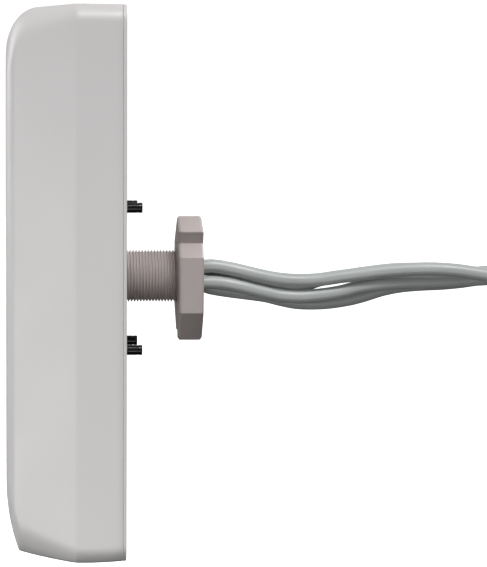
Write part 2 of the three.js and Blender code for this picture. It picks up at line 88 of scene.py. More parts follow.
CREASE_X = -16.4
CREASE_LAND = 1.0
BEVEL_SLOPE = 0.56
SIDE_ROUND = (3.6, 6.2)  # depth and inset of the rounding at the end of the bevel
TOP_ROUND = (11.0, 15.0)
TOP_TAPER = 0.05
BOTTOM = -97.1
BOTTOM_X = -13.0
BOTTOM_BOW = 0.0035
CHIN = (4.4, 22.0)  # depth and height over which the face curls back above the bottom wall
SOFTNESS = 0.5  # millimetres over which the crease and the chin are softened
SKIRT_CORNER_RADIUS = 6.5
CORNER_GROWTH = 0.32
FACE_SHARES = (0.85, 0.65, 0.4, 0.15)  # rings of the crowned face, as shares of its edge
WALL = 2.6
RIM_DEPTH = -2.6  # where the rim's rebate for the back plate ends
FLANGE_THICKNESS = 1.2
PLATE_THICKNESS = 3.0
SEAM_GAP = 0.06
COVER_SCREWS = [(-47, 82), (47, 82), (-47, 0), (47, 0), (-47, -82), (47, -82)]

# Stem, hand nut and what stands on the back
STEM_RADIUS = 9.5
STEM_BORE = 7.9
STEM_FLANGE = (30, 2.6)  # half width and thickness of the square flange inside the case
STEM_FLANGE_CORNER = 4
THREAD_PITCH = 1.12
THREAD_DEPTH = 0.8
THREAD_START = -1.0
NUT_BORE = 9.95
NUT_THREAD_HEIGHT = 0.33
NUT_RECESS = (12.4, 0.9)  # radius and depth of the recess that the washer lies in
NUT_LOBE = [(18, -12.8), (19.4, 7.4), (14.4, 12.4), (17.4, 16.8)]  # (across, up), one of three
NUT_NOTCH = 2  # the one corner of a lobe that points inwards
NUT_CORNER_RADIUS = 0.6
NUT_CHAMFER = [(0, 1.05), (0, 0.86), (0.05, 0.74), (0.13, 0.62), (0.62, 0.13), (0.74, 0.05), (0.95, 0)]
WASHER_RADIUS = 12.0
STUD_OFFSET = 25.4
STUD_RADIUS = 1.8
GROMMET_RADIUS = 7.6
CABLE_HOLE = (2.62, 2.85)  # radius along the grommet's holes and at their mouths

SQUARE = [(1, 1), (-1, 1), (-1, -1), (1, -1)]

# Pigtails; the boot, plug and collar are measured down from the cable's end
CABLE_RADIUS = 2.5
BOOT_START, BOOT_END = 0.3, 22.0
PLUG_START = 22.3
COLLAR_START, COLLAR_END = PLUG_START + 8.3, PLUG_START + 22.5
KNURL_CREST = 7.28
KNURL_DEPTH = 0.3
KNURL_TEETH = 30
KNURL_LEAN = 0.085  # radians of turn for each millimetre along the collar
TIE_CENTRE_X = 143.0
TIE_INNER = (10.85, 3.45)  # half width and half height of the loop, inside
TIE_BAND = (1.75, 1.0)  # half width and thickness of the band
FEED_POINTS = (21, 22)  # the patches' feed pins, across and up from the stem's axis
CABLE_ROUTES = [
    [
        (28.9, -2.85, 3.4), (33, -3, 3.75), (39, -3.2, 2.9), (43.4, -3.3, 1.95), (50.7, -3.45, 0.2),
        (58, -3.6, -1.15), (65.4, -3.9, -1.6), (72.8, -4.2, -1.2), (80, -4.7, -0.15), (87.5, -5.2, 0.8),
        (95, -5.8, 1.8), (104, -6.6, 2.5), (113, -7.4, 2.8), (122, -7.9, 2.3), (130, -8.1, 1.2),
        (136, -8.1, 0.2), (147, -8.1, -0.4), (158, -8.1, -3), (168.5, -8.3, -9.2), (176.5, -8.9, -18.5),
        (181.5, -10.2, -30.5), (183.5, -12.6, -45), (184, -16, -62), (184, -19.8, -80), (184, -23.4, -98),
        (184, -26, -116), (184, -27, -132), (184, -27, -144.4),
    ],
    [
        (28.9, -3, -2.5), (33, -2.9, -2.3), (39, -2.75, -2.9), (43.4, -2.7, -3.8), (50.7, -2.6, -5.6),
        (58, -2.6, -7.15), (65.4, -2.65, -7.6), (72.8, -2.7, -7), (80, -2.7, -5.9), (87.5, -2.7, -4.05),
        (95, -2.7, -3), (104, -2.7, -2.4), (113, -2.7, -2.2), (122, -2.7, -1.8), (130, -2.7, -1.3),
        (136, -2.7, -1), (147, -2.7, -1), (158, -2.7, -3.4), (168.5, -2.7, -9.4), (176.5, -2.9, -18.6),
        (181.5, -3.3, -30.5), (183.5, -4.1, -45), (184, -5.2, -62), (184, -6.5, -80), (184, -7.7, -98),
        (184, -8.6, -116), (184, -9, -132), (184, -9, -146.6),
    ],
    [
        (28.9, 3, -3.3), (33, 2.9, -4.6), (39, 2.8, -5.6), (47, 2.8, -6.65), (53, 2.8, -7.5),
        (58.7, 2.8, -8.9), (64, 2.8, -9.95), (70, 2.8, -10.25), (77, 2.8, -9.9), (84.6, 2.8, -8.7),
        (90, 2.8, -7.3), (96, 2.8, -5.4), (103, 2.75, -4), (111, 2.7, -3.3), (118, 2.7, -3),
        (125, 2.7, -2.4), (133, 2.7, -1.4), (147, 2.7, -1), (158, 2.7, -3.4), (168.5, 2.7, -9.4),
        (176.5, 2.9, -18.6), (181.5, 3.3, -30.5), (183.5, 4.1, -45), (184, 5.2, -62), (184, 6.5, -80),
        (184, 7.7, -98), (184, 8.6, -116), (184, 9, -132), (184, 9, -146),
    ],
    [
        (28.9, 3, 2.4), (33, 3.1, 2.3), (39, 3.3, 1.3), (47, 3.7, -0.9), (53, 4, -2.3), (59, 4.2, -3.5),
        (64.5, 4.5, -3.9), (69, 4.7, -3.2), (73, 5, -1.9), (78, 5.3, -1), (84, 5.7, -0.2), (92, 6.2, 0.9),
        (100, 6.7, 1.8), (109, 7.3, 2.1), (117, 7.8, 1.7), (125, 8.1, 0.7), (131, 8.1, 0.4),
        (136, 8.1, 0.9), (141, 8.1, 0.7), (147, 8.1, -0.1), (158, 8.1, -3), (168.5, 8.3, -9.2),
        (176.5, 8.9, -18.5), (181.5, 10.2, -30.5), (183.5, 12.6, -45), (184, 16, -62), (184, 19.8, -80),
        (184, 23.4, -98), (184, 26, -116), (184, 27, -132), (184, 27, -144),
    ],
]

# Camera, lights and floor, in metres, radians and watts
CAMERA_PLACE = (-0.02888, -0.96372, 0.04338)
CAMERA_YAW, CAMERA_PITCH, CAMERA_ROLL = 0.07626, -0.04781, 0.00286
CAMERA_LENS, CAMERA_SENSOR = 167.13, 36
LIGHTS = [  # name, place, target, size, power
    ("key", (0.4, -1.1, 1.6), (0.03, 0, 0), (0.6, 0.4), 28),
    ("low_front", (0.03, -0.5, -0.25), (0, 0, -0.04), (0.3, 0.15), 0.9),
    ("left", (-1.3, -0.5, -0.2), (0, 0, -0.03), (0.6, 0.6), 8.5),
    ("chin", (-0.35, -0.45, -0.26), (-0.03, 0, -0.09), (0.2, 0.1), 0.7),
    ("back", (1.3, 1.0, 0.9), (0, 0, 0), (0.8, 0.8), 14),
    ("far_side", (-1.3, 1.0, 0.4), (0, 0, 0), (0.8, 0.8), 10),
]
BACKDROP_STRENGTH = 1.05  # of the white that the camera sees round the object
DOME_STRENGTH = (0.03, 0.5)  # below and overhead
FLOOR_DROP = 0.06
FLOOR_REACH = 12.0


# ---------------------------------------------------------------------------------------------
# Materials
# ---------------------------------------------------------------------------------------------
class Nodes:
    """Builds one procedural material. Texture coordinates are the row frame's metres."""

    def __init__(self, name, color, roughness, metallic=0.0):
        """Starts a plain material; color is linear red, green and blue."""
        self.material = bpy.data.materials.new(name)
        self.material.use_nodes = True
        self.tree = self.material.node_tree
        self.shader = self.tree.nodes["Principled BSDF"]
        self.color = color
        self.shader.inputs["Base Color"].default_value = (*color, 1)
        self.shader.inputs["Roughness"].default_value = roughness
        self.shader.inputs["Metallic"].default_value = metallic
        self.place = self.tree.nodes.new("ShaderNodeTexCoord").outputs["Object"]

    def link(self, source, target):
        self.tree.links.new(source, target)

    def set(self, **values):
        """Sets constant values on the shader's own sockets, with _ for each space in a name."""
        for name, value in values.items():
            self.shader.inputs[name.replace("_", " ")].default_value = value

    def stretched(self, scale):
        """The texture coordinate stretched by a factor along each axis."""
        node = self.tree.nodes.new("ShaderNodeMapping")
        node.inputs["Scale"].default_value = scale
        self.link(self.place, node.inputs["Vector"])
        return node.outputs["Vector"]

    def noise(self, scale, detail=3.0, vector=None, roughness=0.5):
        """A smooth random value round 0.5, with this many cells to the metre."""
        node = self.tree.nodes.new("ShaderNodeTexNoise")
        node.inputs["Scale"].default_value = scale
        node.inputs["Detail"].default_value = detail
        node.inputs["Roughness"].default_value = roughness
        self.link(vector or self.place, node.inputs["Vector"])
        return node.outputs["Fac"]

    def remap(self, source, low, high, from_low=0.3, from_high=0.7):
        """A value brought from one range to another, held at the ends."""
        node = self.tree.nodes.new("ShaderNodeMapRange")
        node.inputs["From Min"].default_value = from_low
        node.inputs["From Max"].default_value = from_high
        node.inputs["To Min"].default_value = low
        node.inputs["To Max"].default_value = high
        self.link(source, node.inputs["Value"])
        return node.outputs["Result"]

    def mix(self, factor, first, second):
        """A colour between two; each is a colour or a socket."""
        node = self.tree.nodes.new("ShaderNodeMix")
        node.data_type = "RGBA"
        self.link(factor, node.inputs["Factor"])
        for value, socket in ((first, node.inputs[6]), (second, node.inputs[7])):
            if isinstance(value, tuple):
                socket.default_value = (*value, 1)
            else:
                self.link(value, socket)
        return node.outputs[2]

    def shade(self, factor):
        """The base colour times a factor."""
        return tuple(min(channel * factor, 1.0) for channel in self.color)

    def vary_color(self, factor, low, high):
        """The base colour, darkened and lightened by a factor that runs from 0 to 1."""
        mixed = self.mix(factor, self.shade(low), self.shade(high))
        self.link(mixed, self.shader.inputs["Base Color"])
        return mixed

    def vary_roughness(self, factor, low, high):
        self.link(self.remap(factor, low, high), self.shader.inputs["Roughness"])

    def bump(self, height, distance, strength=1.0, under=None):
        """Raises the surface by a height from 0 to 1 times a distance, over an earlier bump."""
        node = self.tree.nodes.new("ShaderNodeBump")
        node.inputs["Distance"].default_value = distance
        node.inputs["Strength"].default_value = strength
        self.link(height, node.inputs["Height"])
        if under is not None:
            self.link(under, node.inputs["Normal"])
        self.link(node.outputs["Normal"], self.shader.inputs["Normal"])
        return node.outputs["Normal"]

    def edge_wear(self, distance):
        """1 on sharp edges, 0 on faces, from the rounded-edge normal."""
        bevel = self.tree.nodes.new("ShaderNodeBevel")
        bevel.samples = 4
        bevel.inputs["Radius"].default_value = distance
        normal = self.tree.nodes.new("ShaderNodeNewGeometry").outputs["Normal"]
        dot = self.tree.nodes.new("ShaderNodeVectorMath")
        dot.operation = "DOT_PRODUCT"
        self.link(bevel.outputs["Normal"], dot.inputs[0])
        self.link(normal, dot.inputs[1])
        return self.remap(dot.outputs["Value"], 1, 0, 0.8, 0.99)


def moulded_plastic(name, color, roughness, grain, mottle=(0.96, 1.03)):
    """Injection-moulded plastic: a fine spark-eroded grain, faint flow mottling and uneven sheen."""
    nodes = Nodes(name, color, roughness)
    flow = nodes.noise(14, 2, nodes.stretched((1, 1, 0.35)))
    nodes.vary_color(nodes.remap(flow, 0, 1), *mottle)
    nodes.vary_roughness(nodes.noise(60, 3), roughness - 0.05, roughness + 0.06)
    fine = nodes.bump(nodes.noise(2600, 2), grain, 0.5)
    nodes.bump(nodes.noise(22, 1), 0.00012, 0.25, fine)
    return nodes


def radome_plastic():
    """The radome's light grey, with painted shade that makes it a little warmer and darker towards the top.
    """
    nodes = moulded_plastic("radome_plastic", (0.58, 0.572, 0.568), 0.42, 0.00003, (0.985, 1.015))
    height = nodes.tree.nodes.new("ShaderNodeSeparateXYZ")
    nodes.link(nodes.place, height.inputs["Vector"])
    mottled = nodes.shader.inputs["Base Color"].links[0].from_socket
    # Painted shade: from 30 to 100 mm above the axis the colour blends into a darker, warmer grey, standing
    # in for the weaker light on the upper part.
    painted_top_shade = nodes.mix(nodes.remap(height.outputs["Z"], 0, 1, 0.03, 0.1), mottled, (0.55, 0.53, 0.53))
    nodes.link(painted_top_shade, nodes.shader.inputs["Base Color"])
    nodes.set(Specular_IOR_Level=0.45)
    return nodes.material


def plate_plastic():
    """The back plate's grey, duller than the radome."""
    return moulded_plastic("plate_plastic", (0.56, 0.55, 0.55), 0.5, 0.00005).material


def stem_plastic():
    """The warmer, darker grey of the stem, nut and washer."""
    nodes = moulded_plastic("stem_plastic", (0.42, 0.37, 0.36), 0.42, 0.00004, (0.93, 1.05))
    nodes.set(Specular_IOR_Level=0.5)
    return nodes.material


def rubber(name, color, roughness):
    """Matt rubber with a dusty bloom and fine pores."""
    nodes = Nodes(name, color, roughness)
    nodes.vary_color(nodes.remap(nodes.noise(90, 4), 0, 1), 0.8, 1.5)
    nodes.vary_roughness(nodes.noise(240, 2), roughness - 0.08, roughness + 0.06)
    nodes.bump(nodes.noise(1500, 3), 0.00004, 0.5)
    return nodes.material


def cable_jacket():
    """Extruded jacket: semi-gloss, with faint drawn streaks along the cable and handling smudges."""
    nodes = Nodes("cable_jacket", (0.385, 0.405, 0.397), 0.4)
    nodes.vary_color(nodes.remap(nodes.noise(38, 3), 0, 1), 0.93, 1.06)
    nodes.vary_roughness(nodes.noise(120, 3), 0.34, 0.5)
    streaks = nodes.bump(nodes.noise(700, 2, nodes.stretched((0.05, 1, 1))), 0.00002, 0.4)
    nodes.bump(nodes.noise(45, 1), 0.0002, 0.3, streaks)
    nodes.set(Specular_IOR_Level=0.55)
    return nodes.material


def metal(name, color, roughness, worn=1.25, grain=(1, 1, 1), specular=0.5):
    """Plated or bare metal with fine tool marks and brighter edges."""
    nodes = Nodes(name, color, roughness, 1.0)
    wear = nodes.edge_wear(0.0002)
    smudge = nodes.remap(nodes.noise(160, 4), 0, 1)
    mottled = nodes.mix(smudge, nodes.shade(0.86), nodes.shade(1.04))
    nodes.link(nodes.mix(wear, mottled, nodes.shade(worn)), nodes.shader.inputs["Base Color"])
    nodes.vary_roughness(nodes.noise(300, 3), roughness - 0.06, roughness + 0.1)
    nodes.bump(nodes.noise(1800, 2, nodes.stretched(grain)), 0.00001, 0.35)
    nodes.set(Specular_IOR_Level=specular)
    return nodes.material


def black_oxide():
    """Oiled black oxide on steel: near black, glossy, with a little bare metal on the edges."""
    nodes = Nodes("black_oxide", (0.005, 0.005, 0.0055), 0.14)
    wear = nodes.edge_wear(0.00008)
    nodes.link(nodes.mix(wear, nodes.shade(1.0), nodes.shade(6.0)), nodes.shader.inputs["Base Color"])
    nodes.vary_roughness(nodes.noise(400, 3), 0.1, 0.24)
    nodes.set(Specular_IOR_Level=0.2)
    nodes.bump(nodes.noise(2200, 2), 0.000008, 0.4)
    return nodes.material


def nylon():
    """Natural nylon, slightly translucent."""
    nodes = Nodes("white_nylon", (0.8, 0.79, 0.75), 0.42)
    nodes.vary_color(nodes.remap(nodes.noise(70, 3), 0, 1), 0.95, 1.03)
    nodes.vary_roughness(nodes.noise(200, 2), 0.36, 0.5)
    nodes.bump(nodes.noise(900, 2), 0.00002, 0.4)
    nodes.set(Subsurface_Weight=0.1, Subsurface_Radius=(0.002, 0.0018, 0.0014), Subsurface_Scale=1.0)
    return nodes.material


def pale_floor():
    """A white floor that glows just enough to show no horizon."""
    nodes = Nodes("pale_floor", (0.86, 0.86, 0.86), 0.8)
    nodes.vary_color(nodes.remap(nodes.noise(1.5, 2), 0, 1), 0.995, 1.005)
    nodes.set(Emission_Color=(1, 1, 1, 1), Emission_Strength=BACKDROP_STRENGTH, Specular_IOR_Level=0.2)
    return nodes.material


LOOKS = {
    "radome_plastic": radome_plastic(),
    "plate_plastic": plate_plastic(),
    "stem_plastic": stem_plastic(),
    "black_rubber": rubber("black_rubber", (0.02, 0.02, 0.02), 0.72),
    "boot_tubing": rubber("boot_tubing", (0.016, 0.016, 0.017), 0.48),
    "black_oxide": black_oxide(),
    "screw_steel": metal("screw_steel", (0.55, 0.55, 0.56), 0.3),
    "aluminium_sheet": metal("aluminium_sheet", (0.72, 0.73, 0.75), 0.36, 1.1, (1, 0.06, 1)),
    "brass": metal("brass", (0.72, 0.55, 0.26), 0.34, 1.15, (1, 1, 0.06)),
    "white_nylon": nylon(),
    "cable_jacket": cable_jacket(),
    "nickel_plate": metal("nickel_plate", (0.68, 0.65, 0.58), 0.26, 1.15),
}


# ---------------------------------------------------------------------------------------------
# Mesh helpers
# ---------------------------------------------------------------------------------------------
def dress(piece, body, slot, *nodes):
    """Gives a new piece its material, its body and the frame nodes that it stands for."""
    piece.data.materials.clear()
    piece.data.materials.append(LOOKS[slot])
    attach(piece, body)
    if nodes:
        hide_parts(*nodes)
    return piece


def smooth_with_sharp_edges(mesh, angle=32):
    """Smooth shading that stays crisp where two faces meet at more than the angle."""
    shape = bmesh.new()
    shape.from_mesh(mesh)
    bmesh.ops.recalc_face_normals(shape, faces=shape.faces)
    for face in shape.faces:
        face.smooth = True
    for edge in shape.edges:
        edge.smooth = len(edge.link_faces) == 2 and edge.calc_face_angle(0) < math.radians(angle)
    shape.to_mesh(mesh)
    shape.free()


def mesh_object(name, points, faces, angle=32):
    """A mesh from points in millimetres."""
    mesh = bpy.data.meshes.new(name)
    mesh.from_pydata([Vector(point) * MM for point in points], [], faces)
    mesh.validate()
    smooth_with_sharp_edges(mesh, angle)
    piece = bpy.data.objects.new(name, mesh)
    bpy.context.scene.collection.objects.link(piece)
    return piece


def ring_faces(start, other, count):
    """Quads between two rings whose first points have these indices."""
    return [(start + i, start + (i + 1) % count, other + (i + 1) % count, other + i) for i in range(count)]


def loft(rings, looped=False):
    """Points and faces through rings of equal length. It is capped at both ends unless it is looped."""
    count = len(rings[0])
    points = [point for ring in rings for point in ring]
    faces = []
    for k in range(len(rings) - 1):
        faces += ring_faces(k * count, (k + 1) * count, count)
    last = (len(rings) - 1) * count
    if looped:
        faces += ring_faces(last, 0, count)
    else:
        faces += [tuple(range(count)), tuple(range(last, last + count))]
    return points, faces


def circle(x, radius, count):
    """A ring of points round the X axis."""
    step = 2 * math.pi / count
    return [(x, radius * math.cos(i * step), radius * math.sin(i * step)) for i in range(count)]


def turned(name, profile, count=48, angle=32, looped=False):
    """A body turned about the X axis from (x, radius) points."""
    return mesh_object(name, *loft([circle(x, radius, count) for x, radius in profile], looped), angle)


def joined(name, pieces):
    """One object from several, in the row's frame."""
    shape = bmesh.new()
    for piece in pieces:
        part = piece.data.copy()
        part.transform(piece.matrix_world)
        shape.from_mesh(part)
        bpy.data.meshes.remove(part)
        bpy.data.objects.remove(piece)
    mesh = bpy.data.meshes.new(name)
    shape.to_mesh(mesh)
    shape.free()
    result = bpy.data.objects.new(name, mesh)
    bpy.context.scene.collection.objects.link(result)
    return result


def cut(piece, tool, angle=32):
    """Cuts a tool out of a piece and removes the tool."""
    modifier = piece.modifiers.new("cut", "BOOLEAN")
    modifier.operation = "DIFFERENCE"
    modifier.solver = "EXACT"
    modifier.object = tool
    bpy.context.view_layer.update()
    evaluated = piece.evaluated_get(bpy.context.evaluated_depsgraph_get())
    mesh = bpy.data.meshes.new_from_object(evaluated)
    piece.modifiers.clear()
    piece.data = mesh
    bpy.data.objects.remove(tool)
    smooth_with_sharp_edges(mesh, angle)
    return piece


def moved(piece, y=0.0, z=0.0):
    """Moves a piece's mesh across the panel, in millimetres."""
    piece.data.transform(Matrix.Translation((0, y * MM, z * MM)))
    return piece


def rounded_polygon(corners, radius, steps=5):
    """A closed outline in (across, up) whose corners are rounded off."""
    outline = []
    for i, corner in enumerate(corners):
        here = Vector(corner)
        before = Vector(corners[i - 1]) - here
        after = Vector(corners[(i + 1) % len(corners)]) - here
        half_angle = before.angle(after) / 2
        reach = min(radius / math.tan(half_angle), 0.42 * before.length, 0.42 * after.length)
        start = here + before.normalized() * reach
        end = here + after.normalized() * reach
        for k in range(steps + 1):
            t = k / steps
            outline.append(start * (1 - t) ** 2 + here * 2 * t * (1 - t) + end * t**2)
    return outline


def inset_corners(corners, inset):
    """Corners drawn in by the same distance from every side; they run anticlockwise."""
    result = []
    for i, corner in enumerate(corners):
        here = Vector(corner)
        before = (here - Vector(corners[i - 1])).normalized()
        after = (Vector(corners[(i + 1) % len(corners)]) - here).normalized()
        outward = Vector((before.y + after.y, -before.x - after.x)) / (1 + before.dot(after))
        result.append(here - outward * inset)
    return result


# ---------------------------------------------------------------------------------------------
# Radome and back plate
# ---------------------------------------------------------------------------------------------
def rounding(distance_to_face, depth, inset):
    """How far an elliptical rounding of this depth and inset has drawn the section in."""
    along = min(max(1 - distance_to_face / depth, 0), 1)
    return inset * (1 - math.sqrt(1 - along * along))


def softened(amount):
    """The positive part of an amount, eased over the point where it starts."""
    return (amount + math.sqrt(amount * amount + SOFTNESS * SOFTNESS)) / 2 if amount > -4 else 0


def radome_section(x):
    """Half width, bottom, top and plan corner radius at a depth."""
    to_face = max(x - FACE_X, 0)
    skirt = min(max(x / CREASE_X, 0), 1)
    past_crease = softened(CREASE_X - CREASE_LAND - x)
    half_width = REAR_HALF_WIDTH + (CREASE_HALF_WIDTH - REAR_HALF_WIDTH) * skirt
    top = REAR_TOP + (CREASE_TOP - REAR_TOP) * skirt
    chin = softened(CHIN[1] * (1 - math.sqrt(to_face / CHIN[0])))
    return (
        half_width - BEVEL_SLOPE * past_crease - rounding(to_face, *SIDE_ROUND),
        BOTTOM + BOTTOM_BOW * (x - BOTTOM_X) ** 2 + chin,
        top - TOP_TAPER * past_crease - rounding(to_face, *TOP_ROUND),
        SKIRT_CORNER_RADIUS + CORNER_GROWTH * past_crease,
    )


def panel_ring(x, half_width, bottom, top, radius, arc_steps=12):
    """A rectangle with round corners, across the X axis."""
    points = []
    corners = [(1, top - radius), (-1, top - radius), (-1, bottom + radius), (1, bottom + radius)]
    for quarter, (sign_y, centre_z) in enumerate(corners):
        for i in range(arc_steps + 1):
            angle = (quarter + i / arc_steps) * math.pi / 2
            y = sign_y * (half_width - radius) + radius * math.cos(angle)
            points.append((x, y, centre_z + radius * math.sin(angle)))
    return points


def radome_ring(x, inset=0.0, section_x=None):
    """The radome's outline at a depth, drawn in by an inset; section_x takes the outline from elsewhere."""
    half_width, bottom, top, radius = radome_section(x if section_x is None else section_x)
    return panel_ring(x, half_width - inset, bottom + inset, top - inset, max(radius - inset, 1))


def make_radome():
    """The radome as a hollow shell: outside, inside and the rim between them."""
    rim = -FLANGE_THICKNESS - SEAM_GAP
    outer = [radome_ring(rim, 0.16), radome_ring(rim - 0.05, 0.05), radome_ring(rim - 0.16)]
    outer += [radome_ring(x) for x in (-4, -7, -10, -13, -15, -16, -16.4, -16.8)]
    outer += [radome_ring(x) for x in (-17.1, -17.4, -17.7, -18.1, -18.6, -19.5, -22, -25.5)]
    before_face = (
        11, 10, 9, 8, 7, 6.2, 5.6, 5.2, 4.9, 4.65, 4.4, 4.15, 3.85, 3.4, 3, 2.6, 2.2, 1.8, 1.45,
        1.15, 0.88, 0.64, 0.44, 0.28, 0.16, 0.07,
    )
    outer += [radome_ring(FACE_X + depth) for depth in before_face]
    edge_x = FACE_X + before_face[-1]
    half_width, bottom, top, radius = radome_section(edge_x)
    for share in FACE_SHARES:
        x = FRONT_X + (edge_x - FRONT_X) * share**2
        outer.append(panel_ring(x, half_width * share, bottom * share, top * share, radius * share))
    inner_depths = (FACE_X + WALL, -37, -34, -30, -24, CREASE_X + WALL, RIM_DEPTH)
    inner = [radome_ring(x, WALL, max(x - WALL, FACE_X + 0.3)) for x in inner_depths]
    rim_rings = [radome_ring(RIM_DEPTH, WALL / 2), radome_ring(rim, WALL / 2)]
    count = len(outer[0])
    points, faces = loft(outer + inner + rim_rings, looped=True)
    last_outer, first_inner = (len(outer) - 1) * count, len(outer) * count
    bridge = ring_faces(last_outer, first_inner, count)
    faces = [face for face in faces if face not in bridge]  # the front has a cap on each side instead
    faces.append(tuple(range(last_outer, first_inner)))
    faces.append(tuple(range(first_inner, first_inner + count)))
    piece = mesh_object("radome_shell", points, faces, 60)
    dress(piece, "antenna", "radome_plastic", "radome")


def screw_recess(size, depth, top_x):
    """The two arms of a tapered cross recess, as tools, with their mouths at top_x."""
    arms = []
    for turn in (0, math.pi / 2):
        across = Vector((math.cos(turn), math.sin(turn)))
        side = Vector((-across.y, across.x))
        rings = []
        for x, share in ((top_x + 0.2, 1.0), (top_x - depth, 0.35)):
            spread = 0.6 + 0.4 * share
            corners = [(1, 0.26), (-1, 0.26), (-1, -0.26), (1, -0.26)]
            flat = [across * a * size * share + side * b * size * spread for a, b in corners]
            rings.append([(x, point.x, point.y) for point in flat])
        arms.append(mesh_object("arm", *loft(rings)))
    return arms


def make_back_plate():
    """The back plate with its holes, and its cover screws."""
    edge = 0.18
    near = -FLANGE_THICKNESS
    flange = [
        radome_ring(-PLATE_THICKNESS, WALL + 0.5), radome_ring(near, WALL + 0.5),
        radome_ring(near, edge), radome_ring(near + edge, 0), radome_ring(PLATE_REAR_X - 0.3, 0),
        radome_ring(PLATE_REAR_X - 0.09, 0.09), radome_ring(PLATE_REAR_X, 0.3),
    ]
    plate = mesh_object("back_plate_visual", *loft(flange))
    mouth = [(-5, STEM_RADIUS + 0.3), (-0.5, STEM_RADIUS + 0.3), (0.2, STEM_RADIUS + 1.0)]
    tools = [turned("mouth", mouth, 72)]
    for y, z in quadrants(STUD_OFFSET, STUD_OFFSET):
        tools.append(moved(turned("hole", [(-5, 2.1), (-0.3, 2.1), (0.1, 2.5)], 32), y, z))
    for y, z in COVER_SCREWS:
        tools.append(moved(turned("sink", [(-5, 1.8), (-1.9, 1.8), (0.1, 3.6)], 40), y, z))
    cut(plate, joined("plate_tools", tools))
    dress(plate, "antenna", "plate_plastic", "back_plate")

    head = SCREW_HEAD_X
    profile = [
        (SCREW_TIP_X, 0.3), (SCREW_TIP_X + 1.2, 1.3), (-2.1, 1.35), (-1.7, 1.5), (head - 0.18, 2.82),
        (head - 0.04, 2.82), (head, 2.72),
    ]
    for i, (y, z) in enumerate(COVER_SCREWS):
        screw = turned(f"cover_screw_{i + 1}_detail", profile, 36)
        for arm in screw_recess(1.6, 1.5, head):
            cut(screw, arm)
        moved(screw, y, z)
        dress(screw, "antenna", "screw_steel", f"cover_screw_{i + 1}")


def quadrants(y, z):
    """A place in each quadrant, in the order of the frame's numbered nodes."""
    return [(-y, z), (-y, -z), (y, -z), (y, z)]


# ---------------------------------------------------------------------------------------------
# Stem, hand nut, washer, studs and grommet
# ---------------------------------------------------------------------------------------------
def thread_wave(x, angle, start, end):
    """Height of the thread's flank, 0 at the root and 1 at the crest, fading out at both ends."""
    phase = (x / THREAD_PITCH - angle / (2 * math.pi)) % 1
    tooth = min(max(1.28 - abs(phase - 0.5) * 2.9, 0), 1)
    fade = min(max((x - start) / 1.2, 0), 1) * min(max((end - x) / 1.0, 0), 1)
    return tooth * fade


def threaded_circle(x, crest, depth, count, start, end):
    """A ring of points on an external thread."""
    step = 2 * math.pi / count
    ring = []
    for i in range(count):
        radius = crest - depth * (1 - thread_wave(x, i * step, start, end))
        ring.append((x, radius * math.cos(i * step), radius * math.sin(i * step)))
    return ring


def make_stem():
    """The hollow threaded stem and its flange, as one turned and threaded loop of rings."""
    count = 72
    flange_half, flange_thickness = STEM_FLANGE
    flange_near = STEM_INNER_X
    flange_far = flange_near + flange_thickness
    corners = [(a * flange_half, b * flange_half) for a, b in SQUARE]
    flange = rounded_polygon(corners, STEM_FLANGE_CORNER, count // 4 - 1)
    by_angle = sorted(flange, key=lambda point: math.atan2(point.y, point.x) % (2 * math.pi))
    start = THREAD_START
    length = STEM_END_X - 0.7 - start
    steps = round(length / (THREAD_PITCH / 12))
    thread = []
    for k in range(steps + 1):
        x = start + length * k / steps
        thread.append(threaded_circle(x, STEM_RADIUS, THREAD_DEPTH, count, start, STEM_END_X + 0.4))
    rings = [
        circle(flange_near, STEM_BORE, count),
        [(flange_near, point.x, point.y) for point in by_angle],
        [(flange_far, point.x, point.y) for point in by_angle],
        circle(flange_far, STEM_RADIUS - THREAD_DEPTH, count),
        *thread,
        circle(STEM_END_X - 0.25, STEM_RADIUS - 0.75, count),
        circle(STEM_END_X, STEM_RADIUS - 1.0, count),
        circle(STEM_END_X, STEM_BORE + 0.3, count),
        circle(STEM_END_X - 0.4, STEM_BORE, count),
    ]
    stem = mesh_object("threaded_stem_visual", *loft(rings, looped=True), 50)
    dress(stem, "antenna", "stem_plastic", "threaded_stem")


